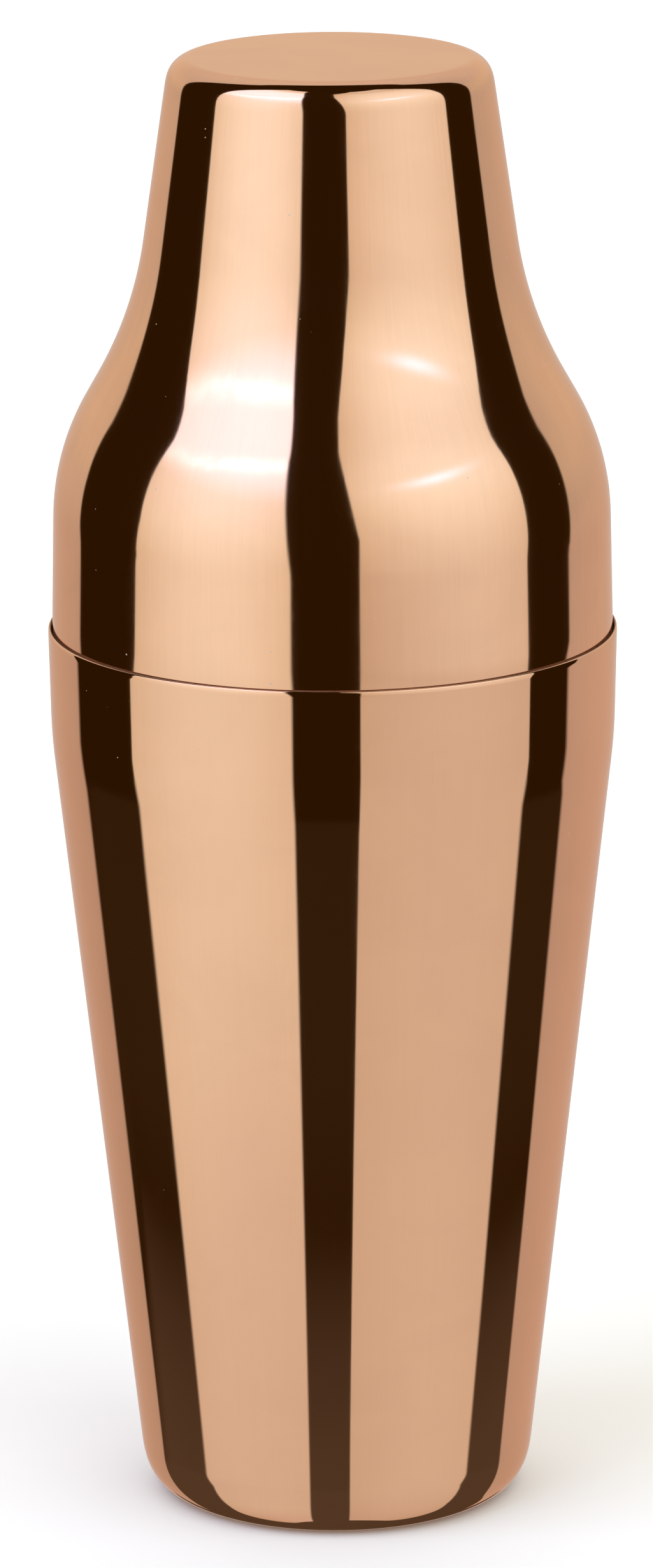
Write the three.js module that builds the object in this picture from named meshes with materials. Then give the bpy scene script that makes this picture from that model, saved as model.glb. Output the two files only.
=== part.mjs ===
// A two-piece French (Parisian) cocktail shaker: a tapered mixing tin and a
// bell-shaped cap whose plug fits inside the tin's mouth, metal on metal.
// Each piece is spun from one round of sheet steel, so it is a single shell
// of even thickness. The outside is plated with copper and polished.
//
// Frame: +Z up, origin at the centre of the ring that the tin stands on.
// Lengths are in millimetres and angles in degrees.

import * as THREE from "three";

// ---- Driving dimensions ------------------------------------------------

// Shared by both pieces
const WALL = 0.5; // thickness of the spun sheet
const FIT_CLEARANCE = 0.2; // radial gap between the cap's plug and the tin's mouth
const SEAT_GAP = 0.3; // from the plug's lower lip to where the mouth starts to close in

// Tin
const TIN_HEIGHT = 142.4;
const MOUTH_RADIUS = 45; // outside, at the lip
const MOUTH_HEIGHT = 17.5; // from the lip down to the bend
const MOUTH_TAPER = 1.3; // mouth wall from the vertical
const BEND_RADIUS = 86; // eases the mouth wall into the cone
const CONE_TAPER = 6.4; // cone wall from the vertical
const CORNER_RADIUS = 6.6; // outside, between the cone and the base
const RECESS_DEPTH = 1; // the base is pressed up in the middle
const FOOT_WIDTH = 4; // flat ring that the tin stands on

// Cap
const CAP_RISE = 90.8; // from the tin's lip up to the flat top
const BELLY_ABOVE_LIP = 0.8; // the cap is widest just above the tin's lip
const BELLY_RADIUS = 100; // eases the plug into the skirt
const SKIRT_HEIGHT = 17.3; // from the belly up to the shoulder
const SKIRT_TAPER = 1.2; // narrows upwards
const SHOULDER_RADIUS = 39.3; // convex curve over the shoulder
const SLOPE_ANGLE = 29.6; // steepest slope, between shoulder and throat
const SLOPE_LENGTH = 4.2;
const THROAT_RADIUS = 61.8; // concave curve from the slope into the neck
const NECK_TAPER = 8.3;
const CROWN_RADIUS = 4; // outside, between the neck and the flat top

// How finely the curves are faceted
const TURN_SEGMENTS = 64; // flats around each piece
const DEGREES_PER_FACET = 5; // along the wide curves
const CORNER_FACETS = 6; // along each tight corner
const LIP_FACETS = 4; // over each half-round lip
const RECESS_FACETS = 3;
const BEND_FACETS = 3;
const BELLY_FACETS = 2;

// ---- Profile geometry --------------------------------------------------
// A profile is a list of points (x = distance from the axis, y = height).
// The direction of a line or a normal is its angle in radians from +x.
// A wall is a straight line: a point on it and its outward normal.

const rad = THREE.MathUtils.degToRad;
const point = (x, y) => new THREE.Vector2(x, y);

function along(start, angle, distance) {
  return point(start.x + Math.cos(angle) * distance, start.y + Math.sin(angle) * distance);
}

// How far a wall lies from the origin along its normal.
const reach = (wall) => wall.through.dot(along(point(0, 0), wall.normal, 1));

// The point of a wall at a height, moved `inset` into the metal.
function onWall(wall, y, inset = 0) {
  const x = (reach(wall) - inset - y * Math.sin(wall.normal)) / Math.cos(wall.normal);
  return point(x, y);
}

// The centre of an arc of the given radius that blends two walls from inside.
function blendCentre(wallA, wallB, radius) {
  const [cosA, sinA] = [Math.cos(wallA.normal), Math.sin(wallA.normal)];
  const [cosB, sinB] = [Math.cos(wallB.normal), Math.sin(wallB.normal)];
  const [reachA, reachB] = [reach(wallA) - radius, reach(wallB) - radius];
  const det = cosA * sinB - sinA * cosB;
  return point((reachA * sinB - sinA * reachB) / det, (cosA * reachB - reachA * cosB) / det);
}

// Points on an arc between two normal angles, both ends included.
function arc(centre, radius, fromAngle, toAngle, facets) {
  const step = (toAngle - fromAngle) / facets;
  return Array.from({ length: facets + 1 }, (_, i) => along(centre, fromAngle + i * step, radius));
}

// How many facets a wide curve takes for the angle that it turns through.
const facetsFor = (fromAngle, toAngle) =>
  Math.ceil(Math.abs(toAngle - fromAngle) / rad(DEGREES_PER_FACET));

// ---- Tin ---------------------------------------------------------------

const mouth = { through: point(MOUTH_RADIUS, TIN_HEIGHT), normal: -rad(MOUTH_TAPER) };
const cone = { through: onWall(mouth, TIN_HEIGHT - MOUTH_HEIGHT), normal: -rad(CONE_TAPER) };
const base = { through: point(0, 0), normal: -rad(90) };

const bendCentre = blendCentre(mouth, cone, BEND_RADIUS);
const cornerCentre = blendCentre(cone, base, CORNER_RADIUS);

// The recess is a shallow dome that rises from the foot's inner edge.
const footInner = cornerCentre.x - FOOT_WIDTH;
const recessRadius = (footInner ** 2 + RECESS_DEPTH ** 2) / (2 * RECESS_DEPTH);
const recessCentre = point(0, RECESS_DEPTH - recessRadius);

// The tin's surface, moved `inset` into the metal, from the axis to the mouth.
function tinSurface(inset) {
  const dome = recessRadius + inset;
  const domeEdge = Math.asin((inset - recessCentre.y) / dome);
  return [
    ...arc(recessCentre, dome, rad(90), domeEdge, RECESS_FACETS),
    ...arc(cornerCentre, CORNER_RADIUS - inset, base.normal, cone.normal, CORNER_FACETS),
    ...arc(bendCentre, BEND_RADIUS - inset, cone.normal, mouth.normal, BEND_FACETS),
  ];
}

// The sheet's edge is half round.
const lipRadius = WALL / 2;
const tinLipCentre = onWall(mouth, TIN_HEIGHT - lipRadius, WALL / 2);
const tinLip = arc(tinLipCentre, lipRadius, mouth.normal, mouth.normal + Math.PI, LIP_FACETS);

const tinProfile = [...tinSurface(0), ...tinLip, ...tinSurface(WALL).reverse()];

// ---- Cap ---------------------------------------------------------------

// The plug follows the inside of the tin's mouth at FIT_CLEARANCE, and the
// skirt carries on from it above the lip, where the cap is widest.
const plugInset = WALL + FIT_CLEARANCE;
const belly = onWall(mouth, TIN_HEIGHT + BELLY_ABOVE_LIP, plugInset);
const plug = { through: belly, normal: mouth.normal };
const skirt = { through: belly, normal: rad(SKIRT_TAPER) };
const bellyCentre = blendCentre(plug, skirt, BELLY_RADIUS);

const slopeNormal = rad(SLOPE_ANGLE);
const shoulderStart = onWall(skirt, belly.y + SKIRT_HEIGHT);
const shoulderCentre = along(shoulderStart, skirt.normal, -SHOULDER_RADIUS);
const slopeStart = along(shoulderCentre, slopeNormal, SHOULDER_RADIUS);
const slopeEnd = along(slopeStart, slopeNormal + rad(90), SLOPE_LENGTH);
const throatCentre = along(slopeEnd, slopeNormal, THROAT_RADIUS);

const neckNormal = rad(NECK_TAPER);
const neck = { through: along(throatCentre, neckNormal, -THROAT_RADIUS), normal: neckNormal };
const top = { through: point(0, TIN_HEIGHT + CAP_RISE), normal: rad(90) };
const crownCentre = blendCentre(neck, top, CROWN_RADIUS);

// The cap's surface, moved `inset` into the metal, from the plug to the axis.
function capSurface(inset) {
  const shoulderFacets = facetsFor(skirt.normal, slopeNormal);
  const throatFacets = facetsFor(slopeNormal, neckNormal);
  return [
    ...arc(bellyCentre, BELLY_RADIUS - inset, plug.normal, skirt.normal, BELLY_FACETS),
    ...arc(shoulderCentre, SHOULDER_RADIUS - inset, skirt.normal, slopeNormal, shoulderFacets),
    ...arc(throatCentre, -THROAT_RADIUS - inset, slopeNormal, neckNormal, throatFacets),
    ...arc(crownCentre, CROWN_RADIUS - inset, neckNormal, top.normal, CORNER_FACETS),
    point(0, top.through.y - inset),
  ];
}

// The plug's lower lip stops just above where the mouth starts to close in.
const mouthEnd = along(bendCentre, mouth.normal, BEND_RADIUS).y;
const plugLipCentre = onWall(plug, mouthEnd + SEAT_GAP + lipRadius, WALL / 2);
const plugLip = arc(plugLipCentre, lipRadius, plug.normal - Math.PI, plug.normal, LIP_FACETS);

const capProfile = [...capSurface(WALL).reverse(), ...plugLip, ...capSurface(0)];

// ---- Scene -------------------------------------------------------------

// Turns a profile about +Z. LatheGeometry turns about +Y, so it is tipped up.
function spun(name, profile, material) {
  const geometry = new THREE.LatheGeometry(profile, TURN_SEGMENTS);
  geometry.rotateX(rad(90));
  const mesh = new THREE.Mesh(geometry, material);
  mesh.name = name;
  return mesh;
}

const polishedCopper = new THREE.MeshStandardMaterial({
  name: "polished_copper",
  color: new THREE.Color().setRGB(0.9, 0.535, 0.345),
  metalness: 1,
  roughness: 0.08,
});

const shaker = new THREE.Group();
shaker.name = "cocktail_shaker";
shaker.add(spun("tin", tinProfile, polishedCopper));
shaker.add(spun("cap", capProfile, polishedCopper));

export default shaker;
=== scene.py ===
"""A two-piece French cocktail shaker in polished copper plate: a tapered tin and a bell-shaped cap."""

import bpy
import numpy as np
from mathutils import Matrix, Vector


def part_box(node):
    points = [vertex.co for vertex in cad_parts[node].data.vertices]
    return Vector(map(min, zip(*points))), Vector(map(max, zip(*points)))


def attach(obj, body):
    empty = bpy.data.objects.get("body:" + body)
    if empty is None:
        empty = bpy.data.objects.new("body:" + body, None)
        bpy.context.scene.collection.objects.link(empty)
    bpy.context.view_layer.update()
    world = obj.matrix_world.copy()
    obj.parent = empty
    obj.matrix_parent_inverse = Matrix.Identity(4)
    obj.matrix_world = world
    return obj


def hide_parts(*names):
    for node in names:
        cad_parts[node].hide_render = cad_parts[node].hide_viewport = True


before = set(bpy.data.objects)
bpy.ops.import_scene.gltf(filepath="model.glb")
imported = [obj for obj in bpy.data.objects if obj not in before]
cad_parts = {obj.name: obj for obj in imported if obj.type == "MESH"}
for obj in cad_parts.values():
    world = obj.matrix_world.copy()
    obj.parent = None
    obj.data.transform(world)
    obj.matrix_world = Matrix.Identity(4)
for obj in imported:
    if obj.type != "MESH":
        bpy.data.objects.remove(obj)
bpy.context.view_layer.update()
scene = bpy.context.scene
scene.view_settings.view_transform = "Standard"


# ---- Camera ------------------------------------------------------------
# A long lens, 1.4 m in front of the shaker and about twice its height up, looking down at its middle.
# It is rolled a little, so that the pair shows slightly askew.

CAMERA_PLACE = (-0.0011, -1.4, 0.4811)
CAMERA_PITCH = 14.61  # degrees below the horizon
CAMERA_ROLL = -0.31  # degrees about the line of sight
LENS_MM = 209.08
SENSOR_MM = 36

camera = bpy.data.objects.new("camera", bpy.data.cameras.new("camera"))
camera.data.lens = LENS_MM
camera.data.sensor_width = SENSOR_MM
camera.location = CAMERA_PLACE
camera.rotation_mode = "XYZ"
camera.rotation_euler = np.radians([90 - CAMERA_PITCH, 0, 0])
camera.rotation_euler.rotate_axis("Z", np.radians(CAMERA_ROLL))
scene.collection.objects.link(camera)
scene.camera = camera


# ---- Floor -------------------------------------------------------------
# A plain pale sheet that the tin stands on. It takes the shaker's shadow. The metal is a mirror and shows the
# studio's panels down to its foot, as on a narrow stand, so the floor isn't in its reflections.

FLOOR_RADIUS = 9.0
FLOOR_CORNERS = 96
FLOOR_COLOUR = (0.93, 0.93, 0.93, 1)
FLOOR_ROUGHNESS = 0.9

turn = np.linspace(0, 2 * np.pi, FLOOR_CORNERS, endpoint=False)
rim = np.column_stack([np.cos(turn), np.sin(turn), 0 * turn]) * FLOOR_RADIUS
floor_mesh = bpy.data.meshes.new("floor")
floor_mesh.from_pydata(rim.tolist(), [], [list(range(FLOOR_CORNERS))])
floor = bpy.data.objects.new("floor", floor_mesh)
floor.visible_glossy = False
scene.collection.objects.link(floor)

floor_paint = bpy.data.materials.new("floor_paint")
floor_paint.use_nodes = True
paint = floor_paint.node_tree.nodes["Principled BSDF"]
paint.inputs["Base Color"].default_value = FLOOR_COLOUR
paint.inputs["Roughness"].default_value = FLOOR_ROUGHNESS
paint.inputs["Specular IOR Level"].default_value = 0
floor_mesh.materials.append(floor_paint)


# ---- Studio ------------------------------------------------------------
# Two tall light panels stand left and right of the camera with a dark gap between them, and a pale backdrop
# behind the shaker. Everything else is dark. The world draws them by compass direction and height.
# Azimuth is 0 towards the camera and grows to its right. All angles are in degrees.


def place(tree, kind, inputs=(), **settings):
    """Adds a shader node. Settings are its own properties, and inputs are constants or sockets to link."""
    node = tree.nodes.new(kind)
    for name, value in settings.items():
        setattr(node, name, value)
    for key, value in dict(inputs).items():
        if isinstance(value, bpy.types.NodeSocket):
            tree.links.new(value, node.inputs[key])
        else:
            node.inputs[key].default_value = value
    return node


def calc(tree, operation, *values):
    """Adds a Math node and gives its result."""
    return place(tree, "ShaderNodeMath", enumerate(values), operation=operation).outputs[0]


def ranged(tree, value, start, end, low, high, smooth=False):
    """Maps value from start..end to low..high, held at both ends, on a line or on a smooth step."""
    kind = "SMOOTHSTEP" if smooth else "LINEAR"
    limits = {"Value": value, "From Min": start, "From Max": end, "To Min": low, "To Max": high}
    return place(tree, "ShaderNodeMapRange", limits, interpolation_type=kind).outputs[0]


def blended(tree, share, below, above, blend_type="MIX"):
    """Mixes two colours: share 0 gives below, and share 1 gives above."""
    node = place(tree, "ShaderNodeMix", data_type="RGBA", blend_type=blend_type, clamp_factor=True)
    for key, value in (("Factor_Float", share), ("A_Color", below), ("B_Color", above)):
        socket = next(s for s in node.inputs if s.identifier == key)
        if isinstance(value, bpy.types.NodeSocket):
            tree.links.new(value, socket)
        else:
            socket.default_value = value
    return next(s for s in node.outputs if s.identifier == "Result_Color")


def new_group(name, inputs, outputs):
    """An empty shader node group, the sockets that it is given and those that it gives out.
    Inputs are name: default, and outputs are name: kind."""
    group = bpy.data.node_groups.new(name, "ShaderNodeTree")
    for title, default in inputs.items():
        kind = "NodeSocketVector" if isinstance(default, tuple) else "NodeSocketFloat"
        group.interface.new_socket(title, in_out="INPUT", socket_type=kind).default_value = default
    for title, kind in outputs.items():
        group.interface.new_socket(title, in_out="OUTPUT", socket_type=kind)
    return group, group.nodes.new("NodeGroupInput").outputs, group.nodes.new("NodeGroupOutput").inputs


# A panel's mask is 1 inside a box of directions with round corners. With q = |direction - middle| - half size
# + corner on each axis, the distance to its edge is |max(q, 0)| + min(max(q), 0) - corner.
panel, given, result = new_group(
    "light panel",
    {"Azimuth": 0.0, "Elevation": 0.0, "Start": -90.0, "End": -20.0, "Bottom": -70.0, "Top": 70.0,
     "Corner": 10.0, "Softness": 0.5},
    {"Mask": "NodeSocketFloat"},
)


def past_corner(direction, low, high):
    """|direction - middle| - half size + corner along one axis of the panel."""
    middle = calc(panel, "MULTIPLY", calc(panel, "ADD", given[low], given[high]), 0.5)
    half = calc(panel, "MULTIPLY", calc(panel, "SUBTRACT", given[high], given[low]), 0.5)
    offset = calc(panel, "ABSOLUTE", calc(panel, "SUBTRACT", given[direction], middle))
    return calc(panel, "ADD", calc(panel, "SUBTRACT", offset, half), given["Corner"])


past_side = past_corner("Azimuth", "Start", "End")
past_end = past_corner("Elevation", "Bottom", "Top")
square = [calc(panel, "POWER", calc(panel, "MAXIMUM", q, 0), 2) for q in (past_side, past_end)]
outside = calc(panel, "SQRT", calc(panel, "ADD", *square))
inside = calc(panel, "MINIMUM", calc(panel, "MAXIMUM", past_side, past_end), 0)
distance = calc(panel, "SUBTRACT", calc(panel, "ADD", outside, inside), given["Corner"])
well_inside = calc(panel, "MULTIPLY", given["Softness"], -1)
mask = ranged(panel, distance, given["Softness"], well_inside, 0, 1, smooth=True)
panel.links.new(mask, result["Mask"])

studio = bpy.data.worlds.new("studio")
studio.use_nodes = True
scene.world = studio
sky = studio.node_tree
sky.nodes.clear()
ray = place(sky, "ShaderNodeTexCoord").outputs["Generated"]
east, north, up = place(sky, "ShaderNodeSeparateXYZ", {0: ray}).outputs
azimuth = calc(sky, "DEGREES", calc(sky, "ARCTAN2", east, calc(sky, "MULTIPLY", north, -1)))
# Behind is 0 straight away from the camera and grows to its left.
behind = calc(sky, "DEGREES", calc(sky, "ARCTAN2", calc(sky, "MULTIPLY", east, -1), north))
elevation = calc(sky, "DEGREES", calc(sky, "ARCSINE", up))


def panel_mask(direction, start, end, bottom, top, corner, softness):
    """The light panel group with its edges given in degrees. An edge may be a socket."""
    node = place(sky, "ShaderNodeGroup", node_tree=panel)
    names = ("Azimuth", "Elevation", "Start", "End", "Bottom", "Top", "Corner", "Softness")
    for name, value in zip(names, (direction, elevation, start, end, bottom, top, corner, softness)):
        if isinstance(value, bpy.types.NodeSocket):
            sky.links.new(value, node.inputs[name])
        else:
            node.inputs[name].default_value = value
    return node.outputs["Mask"]


RAMP_SCALE = 2.5  # a colour ramp holds up to 1, and the panels are brighter than that
LOWEST, HIGHEST = -90, 90


def brightness(direction, stops):
    """A colour by elevation. Stops are elevation: (red, green, blue), where 1 is white."""
    ramp = place(sky, "ShaderNodeValToRGB", {0: ranged(sky, direction, LOWEST, HIGHEST, 0, 1)})
    while len(ramp.color_ramp.elements) < len(stops):
        ramp.color_ramp.elements.new(0.5)
    for element, (angle, colour) in zip(ramp.color_ramp.elements, sorted(stops.items())):
        element.position = (angle - LOWEST) / (HIGHEST - LOWEST)
        element.color = (*(c / RAMP_SCALE for c in colour), 1)
    return scaled(ramp.outputs[0], RAMP_SCALE)


def scaled(colour, amount):
    """A colour times a number, which may be over 1."""
    node = place(sky, "ShaderNodeVectorMath", {0: colour, "Scale": amount}, operation="SCALE")
    return node.outputs[0]


def plus(first, second):
    """The sum of two colours."""
    return place(sky, "ShaderNodeVectorMath", {0: first, 1: second}, operation="ADD").outputs[0]


def falling(direction, middle, half, loss):
    """1 in the middle, and less by loss at half a width away: 1 - loss ((direction - middle) / half)^2."""
    across = calc(sky, "DIVIDE", calc(sky, "SUBTRACT", direction, middle), half)
    return calc(sky, "SUBTRACT", 1, calc(sky, "MULTIPLY", calc(sky, "POWER", across, 2), loss))


DIMMING = (0.7, 1.0, 1.4)  # what is dimmer is also warmer


def dimmed(colour, amount):
    """A colour times the amount, which is raised to a power of DIMMING for each of red, green and blue."""
    parts = [calc(sky, "POWER", amount, power) for power in DIMMING]
    factors = place(sky, "ShaderNodeCombineXYZ", enumerate(parts)).outputs[0]
    return place(sky, "ShaderNodeVectorMath", {0: colour, 1: factors}, operation="MULTIPLY").outputs[0]


def glow(direction, middle, width, level, thickness):
    """A soft bright patch: exp(-((direction - middle) / width)^2 - ((elevation - level) / thickness)^2)."""
    across = calc(sky, "DIVIDE", calc(sky, "SUBTRACT", direction, middle), width)
    upward = calc(sky, "DIVIDE", calc(sky, "SUBTRACT", elevation, level), thickness)
    away = calc(sky, "ADD", calc(sky, "POWER", across, 2), calc(sky, "POWER", upward, 2))
    return calc(sky, "EXPONENT", calc(sky, "MULTIPLY", away, -1))


# The dark around the panels is warm. Low down it shows the brown stand, whose edge rises to the sides.
# The rise is STAND_RISE (azimuth / STAND_SIDE)^2, held at STAND_MOST times STAND_RISE.
STAND_RISE, STAND_SIDE, STAND_MOST = 5.2, 104, 1.3
aside = calc(sky, "MINIMUM", calc(sky, "POWER", calc(sky, "DIVIDE", azimuth, STAND_SIDE), 2), STAND_MOST)
stand_height = calc(sky, "SUBTRACT", elevation, calc(sky, "MULTIPLY", aside, STAND_RISE))
dark = brightness(stand_height, {
    -32: (0.094, 0.071, 0.050), -31: (0.070, 0.047, 0.031), -30.2: (0.027, 0.013, 0.001),
    -29.4: (0.037, 0.022, 0.008), -27.6: (0.036, 0.021, 0.007), -26.5: (0.026, 0.012, 0.001),
})

# The panels' own light, from the bottom up. Each panel's bands slope a little: a slope is (from, to, change
# at one side, change at the other) by azimuth, which is added to the elevation.
LEFT_SLOPE = (-88, -18, -1.25, 1.2)
RIGHT_SLOPE = (10, 82, -1.9, 1.9)
left_height = calc(sky, "ADD", elevation, ranged(sky, azimuth, *LEFT_SLOPE))
left_light = brightness(left_height, {
    -70: (0.69, 0.63, 0.60), -50: (0.74, 0.72, 0.68), -31: (0.74, 0.72, 0.69), -28.6: (0.79, 0.78, 0.76),
    -27: (0.90, 0.94, 0.92), -17: (0.92, 0.97, 0.96), -10: (1.01, 1.09, 1.10), 4: (1.13, 1.27, 1.36),
    20: (1.22, 1.38, 1.62), 30: (1.42, 1.63, 2.30), 48: (1.50, 1.70, 2.45), 61: (1.40, 1.58, 2.10),
    68: (0.95, 0.98, 1.00),
})
right_height = calc(sky, "ADD", elevation, ranged(sky, azimuth, *RIGHT_SLOPE))
right_light = brightness(right_height, {
    -70: (0.65, 0.60, 0.56), -50: (0.70, 0.66, 0.62), -30: (0.74, 0.72, 0.68), -14: (0.74, 0.72, 0.69),
    -10: (0.86, 0.88, 0.87), 2: (0.95, 1.00, 1.00), 16: (1.08, 1.20, 1.23), 24: (1.15, 1.31, 1.42),
    36: (1.13, 1.28, 1.38), 54: (1.02, 1.10, 1.12), 62: (0.82, 0.83, 0.80),
})
back_light = brightness(elevation, {
    -32: (0.61, 0.52, 0.49), -17: (0.66, 0.57, 0.54), -2: (0.70, 0.66, 0.62), 6: (0.78, 0.73, 0.65),
    14: (0.78, 0.73, 0.65), 24: (0.73, 0.69, 0.67), 60: (0.74, 0.71, 0.68),
})

# Directions crowd together towards the floor, so straight upright edges run apart there: flat is the azimuth
# with that taken out. It is azimuth / (1 + amount (tan(-elevation) - tan(start))^power) below the start.
SPREAD_START, SPREAD_POWER, SPREAD_AMOUNT = 30, 1.15, 0.33
steep = calc(sky, "TANGENT", calc(sky, "RADIANS", calc(sky, "MULTIPLY", elevation, -1)))
start_steep = np.tan(np.radians(SPREAD_START))
steeper = calc(sky, "MAXIMUM", calc(sky, "SUBTRACT", steep, start_steep), 0)
spread = calc(sky, "MULTIPLY", calc(sky, "POWER", steeper, SPREAD_POWER), SPREAD_AMOUNT)
flat = calc(sky, "DIVIDE", azimuth, calc(sky, "ADD", 1, spread))


def stepped(start, *steps):
    """A value by elevation: start, plus the change of each step (from, to, change) that has been passed."""
    value = start
    for begin, end, change in steps:
        value = calc(sky, "ADD", value, ranged(sky, elevation, begin, end, 0, change))
    return value


# A corner goes from its low kind to its high kind over this range of elevation. SQUASH is a corner's height
# divided by its width.
CORNER_CHANGE = (-20, 0)
LOW_CORNER, LOW_SQUASH = 22, 0.355
HIGH_CORNER, HIGH_SQUASH = 60, 5
OVERLAP = 80
OUTER_SOFTNESS = 0.4
corner = ranged(sky, elevation, *CORNER_CHANGE, LOW_CORNER, HIGH_CORNER)
squash = ranged(sky, elevation, *CORNER_CHANGE, LOW_SQUASH, HIGH_SQUASH)


def tall_panel(side, inner, outer, bottom, top, softness):
    """The mask of a panel whose outer corners alone are round. Its box reaches OVERLAP past the inner edge
    and is cut off straight there. Across, the box is measured in squash times degrees, so that a corner is
    corner high and corner / squash wide. Side is -1 for left and 1 for right."""
    beyond = calc(sky, "MULTIPLY", calc(sky, "SUBTRACT", flat, inner), side)
    width = calc(sky, "MULTIPLY", calc(sky, "SUBTRACT", outer, inner), side)
    end = calc(sky, "MULTIPLY", width, squash)
    start = calc(sky, "MULTIPLY", squash, -OVERLAP)
    box = panel_mask(calc(sky, "MULTIPLY", beyond, squash), start, end, bottom, top, corner, OUTER_SOFTNESS)
    return calc(sky, "MULTIPLY", box, ranged(sky, beyond, -softness, softness, 0, 1, smooth=True))


# Near its top the left panel's inner edge leans away from the gap, by LEAN times the square of the way up.
LEAN = -13
LEAN_RANGE = (40, 71)
lean_share = calc(sky, "POWER", ranged(sky, elevation, *LEAN_RANGE, 0, 1), 2)
left_inner = calc(sky, "ADD", stepped(-16.6, (-15, 40, -5.6)), calc(sky, "MULTIPLY", lean_share, LEAN))
left_outer = stepped(-78, (-52, -30, -6.0), (-32, -24, -6.5), (-16, -10, 3), (-8, 2, 1.5), (28, 44, -1))
right_inner = stepped(7.8, (-31.5, -27.5, 3.2), (5, 45, -7.2), (61.5, 70, 24))
right_outer = stepped(78.5, (-50, -34, 4.5), (-32, -27, 4.2), (28, 40, 2))
left_mask = tall_panel(-1, left_inner, left_outer, bottom=-80, top=73, softness=0.8)
right_mask = tall_panel(1, right_inner, right_outer, bottom=-77.5, top=71, softness=0.35)

# The backdrop is a wide panel behind the shaker, and the stand covers the middle of its lower edge.
BACK_BOTTOM, BACK_TOP = -42, 62
BACK_LOW_CORNER, BACK_HIGH_CORNER = 24, 16
back_left = stepped(53, (-8, 2, 1), (20, 38, 2))
back_right = stepped(-65, (-24, -20, -4), (-15, -11, 4), (20, 38, 3))
back_soft = stepped(0.5, (-28, -22, 1.0), (-15, -12, -0.8))
back_corner = ranged(sky, elevation, *CORNER_CHANGE, BACK_LOW_CORNER, BACK_HIGH_CORNER)
back_mask = panel_mask(behind, back_right, back_left, BACK_BOTTOM, BACK_TOP, back_corner, back_soft)
stand_mask = panel_mask(behind, start=-20, end=20, bottom=-120, top=-31, corner=4, softness=1.0)
back_mask = calc(sky, "MULTIPLY", back_mask, calc(sky, "SUBTRACT", 1, stand_mask))

# Each panel's lamp shows in it as a soft bright patch. The left one is uneven and climbs towards the gap.
LEFT_GLOW = (0.45, 0.62, 0.95)
RIGHT_GLOW = (0.4, 0.55, 1.35)
MOTTLE_RANGE = (0.36, 0.64, 0.3, 1.3)  # the noise from and to, and the brightness at each
LEFT_CLIMB = (-85, -25, 28, 37.5)  # the azimuth from and to, and the elevation at each
mottle = place(sky, "ShaderNodeTexNoise", {"Vector": ray, "Scale": 5, "Detail": 3, "Roughness": 0.55})
patchy = ranged(sky, mottle.outputs[0], *MOTTLE_RANGE)
left_level = ranged(sky, azimuth, *LEFT_CLIMB)
left_patch = glow(azimuth, middle=-48, width=34, level=left_level, thickness=3.2)
right_patch = glow(azimuth, middle=49, width=16, level=27.4, thickness=2.0)
left_lit = plus(left_light, scaled(LEFT_GLOW, calc(sky, "MULTIPLY", left_patch, patchy)))
right_lit = plus(right_light, scaled(RIGHT_GLOW, right_patch))

# Each panel is a little dimmer away from its middle.
left_middle = stepped(-54, (-20, -10, 3))
left_loss = stepped(0.05, (-29, -27, 0.08), (-20, -8, 0.15), (22, 32, -0.18))
right_loss = stepped(0.06, (-20, -8, 0.17))
back_middle = stepped(-10, (-14, -4, 14))
left_panel = dimmed(left_lit, falling(azimuth, left_middle, half=36, loss=left_loss))
right_panel = dimmed(right_lit, falling(azimuth, middle=54, half=40, loss=right_loss))
backdrop = scaled(back_light, falling(behind, back_middle, half=58, loss=0.15))
seen = blended(sky, left_mask, dark, left_panel)
seen = blended(sky, right_mask, seen, right_panel)
seen = blended(sky, back_mask, seen, backdrop)

# The camera itself sees plain white behind the shaker.
WHITE = (1, 1, 1, 1)
to_camera = place(sky, "ShaderNodeLightPath").outputs["Is Camera Ray"]
shown = blended(sky, to_camera, seen, WHITE)
light = place(sky, "ShaderNodeBackground", {"Color": shown, "Strength": 1.0})
sky.links.new(light.outputs[0], place(sky, "ShaderNodeOutputWorld").inputs["Surface"])

# A wide soft lamp overhead fills the floor. It is left out of the metal's reflections.
FILL_STRENGTH = 2.0
FILL_ANGLE = 110  # degrees across, which makes it soft
FILL_COLOUR = (1.0, 0.99, 0.90)
fill = bpy.data.objects.new("fill_lamp", bpy.data.lights.new("fill_lamp", "SUN"))
fill.data.energy = FILL_STRENGTH
fill.data.angle = np.radians(FILL_ANGLE)
fill.data.color = FILL_COLOUR
fill.visible_glossy = False
scene.collection.objects.link(fill)


# ---- Tin ---------------------------------------------------------------
# The mixing tin, spun from one round of stainless steel sheet, plated outside with copper and polished.
# Its mouth is nearly straight, eases into a long cone, and turns under on a round corner to a foot ring.

tin_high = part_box("tin")[1]
WALL = 0.0005
MOUTH_HEIGHT = 0.0175
MOUTH_TAPER = 1.3  # degrees from the vertical
BEND_RADIUS = 0.086
CONE_TAPER = 6.4  # degrees from the vertical
CORNER_RADIUS = 0.0066
FOOT_WIDTH = 0.004
RECESS_DEPTH = 0.001
LIP_STEP = np.radians(15)
CURVE_STEP = np.radians(1.6)
LONGEST_STEP = 0.0016
TURNS = 256


def heading(angle):
    """The unit vector at an angle from the r axis, in the (r, z) plane."""
    return np.array([np.cos(angle), np.sin(angle)])


def on_wall(wall, z, inset=0.0):
    """The point of a wall at height z, moved inset into the metal: r = (reach - inset - z sin n) / cos n.
    A wall is a point on it and the angle n of its normal, and reach is how far it lies along that normal."""
    through, normal = wall
    return np.array([(through @ heading(normal) - inset - z * np.sin(normal)) / np.cos(normal), z])


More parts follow.
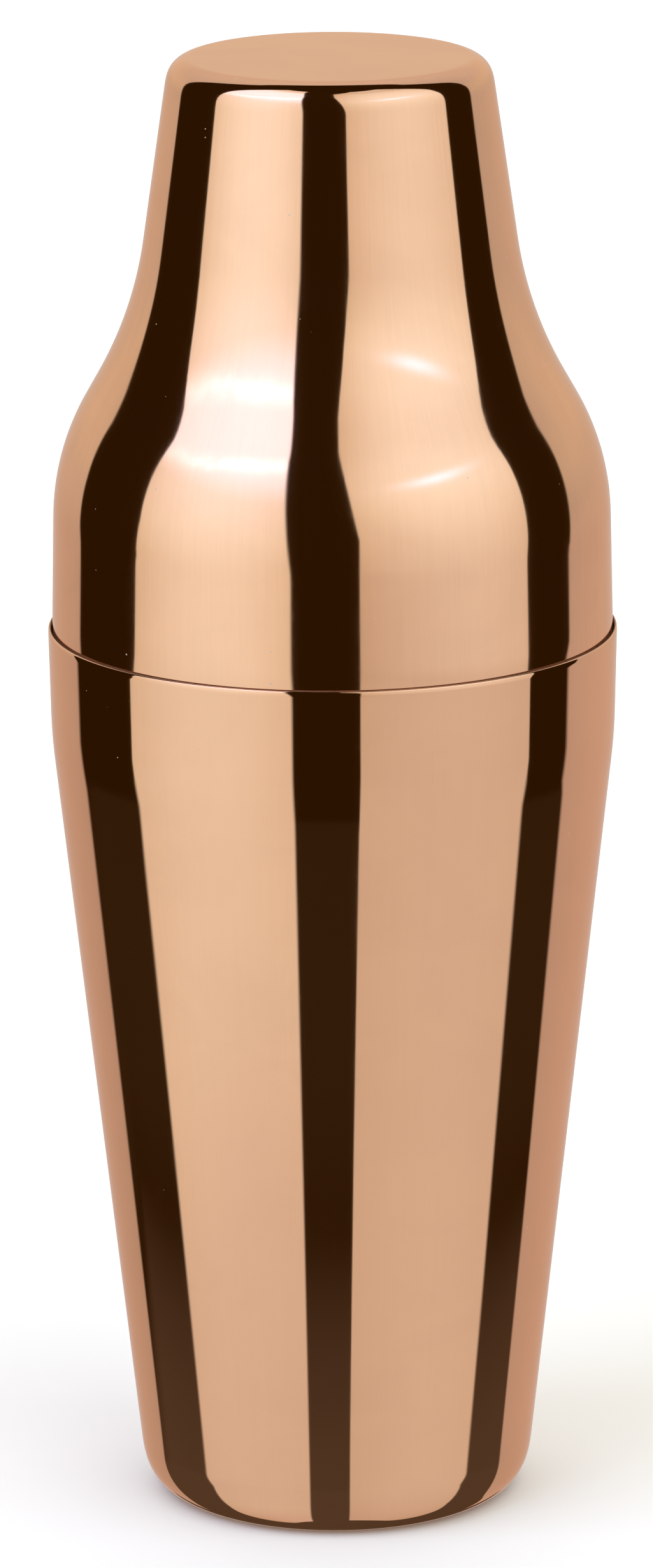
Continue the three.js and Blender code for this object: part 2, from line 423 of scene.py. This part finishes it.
def blend_centre(wall_a, wall_b, radius):
    """The centre that lies radius inside both walls, so that an arc about it touches each of them."""
    normals = np.array([heading(wall[1]) for wall in (wall_a, wall_b)])
    reach = np.array([wall[0] @ heading(wall[1]) - radius for wall in (wall_a, wall_b)])
    return np.linalg.solve(normals, reach)


def arc(centre, radius, start, end, step=CURVE_STEP):
    """Points centre + radius (cos a, sin a), with the angle a going evenly from start to end."""
    angles = np.linspace(start, end, int(np.ceil(abs(end - start) / step)) + 1)
    return centre + radius * np.column_stack([np.cos(angles), np.sin(angles)])


def filled(points, longest=LONGEST_STEP):
    """The outline with even points added along each stretch that is longer than longest."""
    lengths = np.hypot(*np.diff(points, axis=0).T)
    counts = np.maximum(np.ceil(lengths / longest), 1).astype(int)
    start = np.repeat(np.arange(len(counts)), counts)
    share = (np.arange(counts.sum()) - np.repeat(np.cumsum(counts) - counts, counts)) / counts[start]
    between = points[start] + (points[start + 1] - points[start]) * share[:, None]
    return np.vstack([between, points[-1]])


def spun_shell(name, outside, lip, inside):
    """Turns the outline outside + lip + inside about +Z: x = r cos a, y = r sin a, z = z, where a has TURNS
    even steps. Its ends lie on the axis and become poles, so the shell is closed.
    The attribute from_lip is the way along the outline from the middle of the lip, in metres: below 0
    outside, and above 0 inside. Inner faces take material 1."""
    outline = np.vstack([outside, lip, inside])
    rows, first_inner = outline[1:-1], len(outside) + len(lip) - 2
    angle = np.arange(TURNS) * 2 * np.pi / TURNS
    radius, rise = rows[:, :1], rows[:, 1:]
    places = np.broadcast_arrays(radius * np.cos(angle), radius * np.sin(angle), rise)
    rings = np.stack(places, axis=-1).reshape(-1, 3)
    poles = np.column_stack([np.zeros((2, 2)), outline[[0, -1], 1]])

    row, column = np.meshgrid(np.arange(len(rows) - 1), np.arange(TURNS), indexing="ij")
    here, there = row * TURNS + column, row * TURNS + (column + 1) % TURNS
    quads = np.stack([here, there, there + TURNS, here + TURNS], axis=-1).reshape(-1, 4)
    step = np.arange(TURNS)
    last = (len(rows) - 1) * TURNS
    start_fan = np.column_stack([(step + 1) % TURNS, step, np.full(TURNS, len(rings))])
    end_fan = np.column_stack([last + step, last + (step + 1) % TURNS, np.full(TURNS, len(rings) + 1)])

    mesh = bpy.data.meshes.new(name)
    faces = quads.tolist() + start_fan.tolist() + end_fan.tolist()
    mesh.from_pydata(np.vstack([rings, poles]).tolist(), [], faces)
    inner = np.concatenate([(row >= first_inner).ravel(), np.zeros(TURNS, bool), np.ones(TURNS, bool)])
    mesh.polygons.foreach_set("material_index", inner.astype(np.int32))
    mesh.shade_smooth()

    run = np.concatenate([[0], np.cumsum(np.hypot(*np.diff(outline, axis=0).T))])
    run -= run[len(outside) + len(lip) // 2]
    each = np.concatenate([np.repeat(run[1:-1], TURNS), run[[0, -1]]])
    from_lip = mesh.attributes.new("from_lip", "FLOAT", "POINT")
    from_lip.data.foreach_set("value", each.astype(np.float32))
    shell = bpy.data.objects.new(name, mesh)
    scene.collection.objects.link(shell)
    return shell


mouth = (np.array([tin_high.x, tin_high.z]), -np.radians(MOUTH_TAPER))
cone = (on_wall(mouth, tin_high.z - MOUTH_HEIGHT), -np.radians(CONE_TAPER))
base = (np.zeros(2), -np.radians(90))
bend_centre = blend_centre(mouth, cone, BEND_RADIUS)
corner_centre = blend_centre(cone, base, CORNER_RADIUS)
foot_inner = corner_centre[0] - FOOT_WIDTH
recess_radius = (foot_inner**2 + RECESS_DEPTH**2) / (2 * RECESS_DEPTH)
recess_centre = np.array([0, RECESS_DEPTH - recess_radius])


CORNER_STEP = 0.0002


def eased_corner(wall, level, radius, ease, end):
    """Points from a wall to the flat at height level. Over the length ease the normal starts to turn as s^2,
    where s is the way along, and from there it turns evenly at 1 / radius until its angle is end."""
    side = np.sign(end - wall[1])
    length = abs(end - wall[1]) * radius + ease / 2
    way = np.linspace(0, length, int(length / CORNER_STEP))
    turned = np.where(way < ease, way**2 / (2 * ease), way - ease / 2) / radius
    ahead = wall[1] + side * (turned + np.pi / 2)  # the heading of the outline itself
    steps = heading((ahead[1:] + ahead[:-1]) / 2).T * np.diff(way)[:, None]
    run = np.vstack([[0, 0], np.cumsum(steps, axis=0)])
    return on_wall(wall, level - run[-1, 1]) + run


def tin_surface(inset, corner):
    """The tin's surface moved inset into the metal, from the axis to the mouth: the recess, the corner and
    the bend."""
    dome = recess_radius + inset
    dome_edge = np.arcsin((inset - recess_centre[1]) / dome)
    return np.vstack([
        arc(recess_centre, dome, np.radians(90), dome_edge),
        corner,
        arc(bend_centre, BEND_RADIUS - inset, cone[1], mouth[1], CURVE_STEP / 4),
    ])


# Spinning eases the wall into the corner, so outside it turns slowly at first.
CORNER_EASE = 0.008
CORNER_TIGHT = 0.0058  # the radius that it ends on
outer_corner = eased_corner(cone, 0, CORNER_TIGHT, CORNER_EASE, base[1])[::-1]
inner_corner = arc(corner_centre, CORNER_RADIUS - WALL, base[1], cone[1])

# Polishing has rounded the outer edge over just below the lip. There the wall leans in by a power of the way
# up, until it meets the half-round lip, which is thinner than the sheet.
SOFT_EDGE = 0.0009
SOFT_TILT = np.radians(11)
SOFT_POINTS = 12
LIP_RADIUS = 0.00022
lip_centre = on_wall(mouth, tin_high.z - LIP_RADIUS, WALL - LIP_RADIUS)
tin_lip = arc(lip_centre, LIP_RADIUS, SOFT_TILT, mouth[1] + np.pi, LIP_STEP)
drop = WALL - LIP_RADIUS * (1 + np.cos(SOFT_TILT))
power = np.tan(SOFT_TILT - mouth[1]) * SOFT_EDGE / drop
climb = np.linspace(0, 1, SOFT_POINTS)[:, None]
edge_z = tin_lip[0, 1] - SOFT_EDGE * (1 - climb)
edge_r = on_wall(mouth, edge_z[0, 0])[0] + np.tan(mouth[1]) * -(edge_z - edge_z[0])
soft_edge = np.hstack([edge_r - drop * climb**power, edge_z])
tin_outside = filled(np.vstack([tin_surface(0, outer_corner), soft_edge]))
tin_inside = filled(np.vstack([tin_lip[-1:], tin_surface(WALL, inner_corner)[::-1]]), 2 * LONGEST_STEP)
tin = spun_shell("tin_shell", tin_outside[:-1], tin_lip[:-1], tin_inside)

# Fine lines that polishing leaves up and down the wall: noise that is stretched along the outline. It is even
# round the shell, because its first two coordinates are the heading (x, y) / r times the number of lines.
streaks, given, result = new_group(
    "polish lines",
    {"Position": (0.0, 0.0, 0.0), "Along": 0.0, "Lines": 60.0, "Length": 0.02},
    {"Lines": "NodeSocketFloat"},
)
FLAT_START, FLAT_END = 0.013, 0.026  # the lines fade out over the flat middle of the crown and base
x, y, _ = place(streaks, "ShaderNodeSeparateXYZ", {0: given["Position"]}).outputs
squares = calc(streaks, "ADD", calc(streaks, "POWER", x, 2), calc(streaks, "POWER", y, 2))
radius = calc(streaks, "SQRT", squares)
scale = calc(streaks, "DIVIDE", given["Lines"], calc(streaks, "MAXIMUM", radius, FLAT_START))
stretched = place(streaks, "ShaderNodeCombineXYZ", {
    "X": calc(streaks, "MULTIPLY", x, scale),
    "Y": calc(streaks, "MULTIPLY", y, scale),
    "Z": calc(streaks, "DIVIDE", given["Along"], given["Length"]),
}).outputs[0]
grain = place(streaks, "ShaderNodeTexNoise", {
    "Vector": stretched, "Scale": 1, "Detail": 3, "Roughness": 0.62,
}).outputs[0]
depth = ranged(streaks, radius, FLAT_START, FLAT_END, 0, 1, smooth=True)
centred = calc(streaks, "MULTIPLY", calc(streaks, "SUBTRACT", grain, 0.5), depth)
streaks.links.new(calc(streaks, "ADD", centred, 0.5), result["Lines"])

# Smudges where the metal was handled and wiped: broad clouds of noise, a little wider than they are high.
smudges, given, result = new_group(
    "handling smudges",
    {"Position": (0.0, 0.0, 0.0), "Size": 0.02, "Cover": 0.5, "Softness": 0.2},
    {"Smudge": "NodeSocketFloat"},
)
PULL = (1.0, 1.0, 1.4)
pulled = place(smudges, "ShaderNodeVectorMath", {0: given["Position"], 1: PULL}, operation="MULTIPLY")
cloud = place(smudges, "ShaderNodeTexNoise", {
    "Vector": pulled.outputs[0], "Scale": calc(smudges, "DIVIDE", 1, given["Size"]),
    "Detail": 4, "Roughness": 0.58, "Distortion": 0.6,
}).outputs[0]
above = calc(smudges, "SUBTRACT", 1, given["Cover"])
low = calc(smudges, "SUBTRACT", above, given["Softness"])
high = calc(smudges, "ADD", above, given["Softness"])
smudges.links.new(ranged(smudges, cloud, low, high, 0, 1, smooth=True), result["Smudge"])

# Specks of dust: one in some cells of a Voronoi pattern, where the cell's own random colour picks which.
dust, given, result = new_group(
    "dust specks",
    {"Position": (0.0, 0.0, 0.0), "Spacing": 0.0016, "Share": 0.06, "Size": 0.00012},
    {"Speck": "NodeSocketFloat"},
)
cells = place(dust, "ShaderNodeTexVoronoi", {
    "Vector": given["Position"], "Scale": calc(dust, "DIVIDE", 1, given["Spacing"]), "Randomness": 1,
}).outputs
pick, grade, _ = place(dust, "ShaderNodeSeparateColor", {0: cells["Color"]}).outputs
SMALLEST, LARGEST = 0.5, 1.3  # times the size
FADED, SOLID = 1.2, 0.5  # times a speck's radius
size = calc(dust, "DIVIDE", given["Size"], given["Spacing"])
speck_radius = calc(dust, "MULTIPLY", size, ranged(dust, grade, 0, 1, SMALLEST, LARGEST))
fade = ranged(dust, calc(dust, "DIVIDE", cells["Distance"], speck_radius), FADED, SOLID, 0, 1, smooth=True)
dust.links.new(calc(dust, "MULTIPLY", fade, calc(dust, "LESS_THAN", pick, given["Share"])), result["Speck"])

# A worn band: 1 between two places along a direction, with an uneven edge.
wear, given, result = new_group(
    "worn band",
    {"Position": (0.0, 0.0, 0.0), "Place": 0.0, "Start": -0.001, "End": 0.001, "Edge": 0.0002,
     "Uneven": 0.0001},
    {"Worn": "NodeSocketFloat"},
)
ragged = place(wear, "ShaderNodeTexNoise", {"Vector": given["Position"], "Scale": 700, "Detail": 3})
wobble = calc(wear, "MULTIPLY", calc(wear, "SUBTRACT", ragged.outputs[0], 0.5), given["Uneven"])
shifted = calc(wear, "ADD", given["Place"], wobble)


def step_up(value, limit):
    """A smooth step from 0 to 1 where the value passes the limit, as wide as the group's Edge."""
    share = calc(wear, "DIVIDE", calc(wear, "SUBTRACT", value, limit), given["Edge"])
    return ranged(wear, share, -0.5, 0.5, 0, 1, smooth=True)


from_start = step_up(shifted, given["Start"])
to_end = step_up(given["End"], shifted)
wear.links.new(calc(wear, "MULTIPLY", from_start, to_end), result["Worn"])


def effect(tree, group, **values):
    """Places a node group in a material with its own values, and gives its only output."""
    return place(tree, "ShaderNodeGroup", values, node_tree=group).outputs[0]


COPPER = (0.90, 0.535, 0.345, 1)
COPPER_TINT = (0.97, 0.82, 0.70, 1)  # holds the colour steady towards grazing angles
WORN_COPPER = (0.90, 0.56, 0.38, 1)
# Painted shade: the dark brown laid on the seam where the cap meets the tin.
SEAM_SHADE_COLOUR = (0.20, 0.10, 0.055, 1)
DUST_COLOUR = (0.55, 0.50, 0.45, 1)
BROAD_LINES = {"Lines": 26.0, "Length": 0.05}
FINE_LINES = {"Lines": 110.0, "Length": 0.012}
CLOUDS = {"Size": 0.022, "Cover": 0.47, "Softness": 0.16}
MARKS = {"Size": 0.006, "Cover": 0.36, "Softness": 0.05}
BAND_UNEVEN = 0.8  # times the width of a band's edge
LINE_TONE = (0.3, 0.7)  # the strength of the lines from the darkest to the palest
LINE_DULL = (0.35, 0.75)  # and from the smoothest to the roughest
HAZE_ROUGHNESS, CLOUD_ROUGHNESS, MARK_ROUGHNESS = 0.9, 0.8, 0.5  # times haze, smudge and smudge
WORN_ROUGHNESS = 0.09
# Where dust specks lie, and in the painted shade at the seam, the metal is rougher and less metallic.
DUST_AND_SEAM_SHADE_ROUGHNESS = 0.45
DUST_AND_SEAM_SHADE_METALLIC = 0.3


def copper_plate(name, roughness, haze, line_height, smudge, speck_share, seam_shade_band, worn_bands):
    """Polished copper plate. Lines, by haze, and smudges, by smudge, vary its tone and roughness. Worn bands
    are satin, and a dark band of painted shade lies where the two pieces meet. Bands are (start, end,
    edge) along the outline, in metres from the lip."""
    material = bpy.data.materials.new(name)
    material.use_nodes = True
    tree = material.node_tree
    metal = tree.nodes["Principled BSDF"]
    here = place(tree, "ShaderNodeTexCoord").outputs["Object"]
    along = place(tree, "ShaderNodeAttribute", attribute_name="from_lip").outputs["Fac"]
    broad = effect(tree, streaks, Position=here, Along=along, **BROAD_LINES)
    fine = effect(tree, streaks, Position=here, Along=along, **FINE_LINES)
    cloud = effect(tree, smudges, Position=here, **CLOUDS)
    marks = effect(tree, smudges, Position=here, **MARKS)
    specks = effect(tree, dust, Position=here, Share=speck_share)

    def band(start, end, edge):
        limit = {"Start": start, "End": end, "Edge": edge, "Uneven": edge * BAND_UNEVEN}
        return effect(tree, wear, Position=here, Place=along, **limit)

    worn = band(*worn_bands[0])
    for limits in worn_bands[1:]:
        worn = calc(tree, "MAXIMUM", worn, band(*limits))
    # Painted shade: a dark band at the seam, where the cap and the tin meet.
    seam_shade = band(*seam_shade_band)

    lines = calc(tree, "ADD", calc(tree, "MULTIPLY", broad, 0.5), calc(tree, "MULTIPLY", fine, 0.5))
    line_tone = ranged(tree, lines, *LINE_TONE, -haze, haze)
    cloud_tone = ranged(tree, cloud, 0, 1, smudge, -smudge)
    shade = calc(tree, "ADD", 1, calc(tree, "ADD", line_tone, cloud_tone))
    grey = place(tree, "ShaderNodeCombineXYZ", {0: shade, 1: shade, 2: shade}).outputs[0]
    colour = blended(tree, 1, COPPER, grey, blend_type="MULTIPLY")
    colour = blended(tree, worn, colour, WORN_COPPER)
    colour = blended(tree, seam_shade, colour, SEAM_SHADE_COLOUR)
    colour = blended(tree, specks, colour, DUST_COLOUR)
    tree.links.new(colour, metal.inputs["Base Color"])

    gloss = calc(tree, "ADD", roughness, ranged(tree, lines, *LINE_DULL, 0, haze * HAZE_ROUGHNESS))
    gloss = calc(tree, "ADD", gloss, calc(tree, "MULTIPLY", cloud, smudge * CLOUD_ROUGHNESS))
    gloss = calc(tree, "ADD", gloss, calc(tree, "MULTIPLY", marks, smudge * MARK_ROUGHNESS))
    gloss = calc(tree, "ADD", gloss, calc(tree, "MULTIPLY", worn, WORN_ROUGHNESS))
    dust_and_seam_shade = calc(tree, "MAXIMUM", seam_shade, specks)
    gloss = calc(tree, "ADD", gloss, calc(tree, "MULTIPLY", dust_and_seam_shade, DUST_AND_SEAM_SHADE_ROUGHNESS))
    tree.links.new(gloss, metal.inputs["Roughness"])
    tree.links.new(ranged(tree, dust_and_seam_shade, 0, 1, 1, DUST_AND_SEAM_SHADE_METALLIC), metal.inputs["Metallic"])
    metal.inputs["Specular Tint"].default_value = COPPER_TINT

    bump = place(tree, "ShaderNodeBump", {"Height": lines, "Distance": line_height, "Strength": 1.0})
    tree.links.new(bump.outputs[0], metal.inputs["Normal"])
    return material


# Inside, plating hardly reaches: it ends just past the lip. Beyond it the sheet is bare and satin, with the
# fine rings that spinning leaves. The plug rubs a band at the mouth a little smoother.
STEEL = (0.82, 0.76, 0.70, 1)
STEEL_DARK = (0.70, 0.65, 0.60, 1)
RING_COUNT = 900  # rings to a metre of outline
RING_WOBBLE = 12  # how much the rings change from one side to the other
RING_HEIGHT = 0.00002
RING_TONE = (0.35, 0.95)  # the rings and film from the palest to the darkest
RING_DULL = (0.3, 0.7)  # the rings from the smoothest to the roughest
STEEL_ROUGHNESS = (0.22, 0.34)
FILM = {"Size": 0.03, "Cover": 0.45, "Softness": 0.2}
FILM_TONE = 0.3
FILM_ROUGHNESS = 0.05
RUBBED = {"Start": -0.001, "End": 0.0166, "Edge": 0.003, "Uneven": 0.004}
RUBBED_ROUGHNESS = 0.05  # how much it takes away
PLATED = {"Start": -0.001, "End": 0.0009, "Edge": 0.0012, "Uneven": 0.001}

steel = bpy.data.materials.new("spun_steel")
steel.use_nodes = True
sheet = steel.node_tree
bare = sheet.nodes["Principled BSDF"]
spot = place(sheet, "ShaderNodeTexCoord").outputs["Object"]
along = place(sheet, "ShaderNodeAttribute", attribute_name="from_lip").outputs["Fac"]
east_part, north_part, _ = place(sheet, "ShaderNodeSeparateXYZ", {0: spot}).outputs
spiral = place(sheet, "ShaderNodeCombineXYZ", {
    "X": calc(sheet, "MULTIPLY", along, RING_COUNT),
    "Y": calc(sheet, "MULTIPLY", east_part, RING_WOBBLE),
    "Z": calc(sheet, "MULTIPLY", north_part, RING_WOBBLE),
}).outputs[0]
rings = place(sheet, "ShaderNodeTexNoise", {
    "Vector": spiral, "Scale": 1, "Detail": 4, "Roughness": 0.65,
}).outputs[0]
film = effect(sheet, smudges, Position=spot, **FILM)
rubbed = effect(sheet, wear, Position=spot, Place=along, **RUBBED)
plated = effect(sheet, wear, Position=spot, Place=along, **PLATED)

darker = calc(sheet, "ADD", rings, calc(sheet, "MULTIPLY", film, FILM_TONE))
toned = blended(sheet, ranged(sheet, darker, *RING_TONE, 0, 1), STEEL, STEEL_DARK)
toned = blended(sheet, plated, toned, COPPER)
sheet.links.new(toned, bare.inputs["Base Color"])
satin = ranged(sheet, rings, *RING_DULL, *STEEL_ROUGHNESS)
satin = calc(sheet, "ADD", satin, calc(sheet, "MULTIPLY", film, FILM_ROUGHNESS))
satin = calc(sheet, "SUBTRACT", satin, calc(sheet, "MULTIPLY", rubbed, RUBBED_ROUGHNESS))
sheet.links.new(satin, bare.inputs["Roughness"])
bare.inputs["Metallic"].default_value = 1
ridges = place(sheet, "ShaderNodeBump", {"Height": rings, "Distance": RING_HEIGHT, "Strength": 1.0})
sheet.links.new(ridges.outputs[0], bare.inputs["Normal"])

# Painted shade: a thin dark line on the lip and just inside it, where the cap meets the tin. The standing
# ring is worn satin.
TIN_SEAM_SHADE = (-0.00005, 0.003, 0.0001)
TIN_WORN = ((-0.1510, -0.1455, 0.0006),)
tin.data.materials.append(copper_plate(
    "tin_copper", roughness=0.028, haze=0.012, line_height=4e-7, smudge=0.015, speck_share=0.03,
    seam_shade_band=TIN_SEAM_SHADE, worn_bands=TIN_WORN,
))
tin.data.materials.append(steel)
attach(tin, "tin")
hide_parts("tin")


# ---- Cap ---------------------------------------------------------------
# The bell-shaped cap, spun and plated like the tin. A short plug below its widest line slips into the tin's
# mouth. Above, a round shoulder, a short slope and a hollow throat lead to the neck and the flat crown.

cap_low, cap_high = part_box("cap")
FIT_CLEARANCE = 0.0002
BELLY_ABOVE_LIP = 0.0008
BELLY_RADIUS = 0.1
SKIRT_HEIGHT = 0.0173
SKIRT_TAPER = 1.2  # degrees from the vertical, narrowing upwards
SHOULDER_RADIUS = 0.0393
SLOPE_ANGLE = 29.6  # degrees from the vertical
SLOPE_LENGTH = 0.0042
THROAT_RADIUS = 0.0618
NECK_TAPER = 8.3  # degrees from the vertical
CROWN_RADIUS = 0.004

belly = on_wall(mouth, tin_high.z + BELLY_ABOVE_LIP, WALL + FIT_CLEARANCE)
plug = (belly, mouth[1])
skirt = (belly, np.radians(SKIRT_TAPER))
belly_centre = blend_centre(plug, skirt, BELLY_RADIUS)
slope = np.radians(SLOPE_ANGLE)
shoulder_start = on_wall(skirt, belly[1] + SKIRT_HEIGHT)
shoulder_centre = shoulder_start - SHOULDER_RADIUS * heading(skirt[1])
slope_start = shoulder_centre + SHOULDER_RADIUS * heading(slope)
slope_end = slope_start + SLOPE_LENGTH * heading(slope + np.pi / 2)
throat_centre = slope_end + THROAT_RADIUS * heading(slope)
neck_normal = np.radians(NECK_TAPER)
neck = (throat_centre - THROAT_RADIUS * heading(neck_normal), neck_normal)
crown = (np.array([0, cap_high.z]), np.pi / 2)
crown_centre = blend_centre(neck, crown, CROWN_RADIUS)


def cap_surface(inset, corner):
    """The cap's surface moved inset into the metal, from the plug to the axis: arcs for the belly, the
    shoulder and the throat, then the crown's corner and the middle of the flat top."""
    return np.vstack([
        arc(belly_centre, BELLY_RADIUS - inset, plug[1], skirt[1], CURVE_STEP / 4),
        arc(shoulder_centre, SHOULDER_RADIUS - inset, skirt[1], slope),
        arc(throat_centre, -THROAT_RADIUS - inset, slope, neck_normal),
        corner,
        [[0, cap_high.z - inset]],
    ])


def round_lip(centre, start):
    """The half-round edge of the sheet: half a turn of radius WALL / 2 from the angle start."""
    return arc(centre, WALL / 2, start, start + np.pi, LIP_STEP)


CROWN_EASE = 0.003
CROWN_TIGHT = 0.0037  # the radius that it ends on
outer_crown = eased_corner(neck, cap_high.z, CROWN_TIGHT, CROWN_EASE, crown[1])
inner_crown = arc(crown_centre, CROWN_RADIUS - WALL, neck_normal, crown[1])
plug_lip = round_lip(on_wall(plug, cap_low.z + WALL / 2, WALL / 2), plug[1] - np.pi)
cap_outside = filled(np.vstack([plug_lip[-1:], cap_surface(0, outer_crown)]))[::-1]
cap_inside = filled(np.vstack([plug_lip[:1], cap_surface(WALL, inner_crown)]), 2 * LONGEST_STEP)
cap = spun_shell("cap_shell", cap_outside, plug_lip[-2:0:-1], cap_inside)
cap.data.flip_normals()  # its outline runs down from the crown, the other way round from the tin's

# The seam is as far from the plug's lip as the plug goes into the mouth, and the half-round lip adds to it.
seam = (cap_low.z - tin_high.z) / np.cos(plug[1]) - (np.pi / 2 - 1) * WALL / 2
# Painted shade: a dark band just below the seam, where the cap meets the tin's lip. The plug below that and
# its lip are worn satin.
CAP_SEAM_SHADE = (seam + 0.00005, seam + 0.0007, 0.0002)
CAP_WORN = ((seam + 0.001, -0.0002, 0.001), (-0.0002, 0.001, 0.0002))
cap.data.materials.append(copper_plate(
    "cap_copper", roughness=0.042, haze=0.022, line_height=8e-7, smudge=0.018, speck_share=0.05,
    seam_shade_band=CAP_SEAM_SHADE, worn_bands=CAP_WORN,
))
cap.data.materials.append(steel)
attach(cap, "cap")
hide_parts("cap")
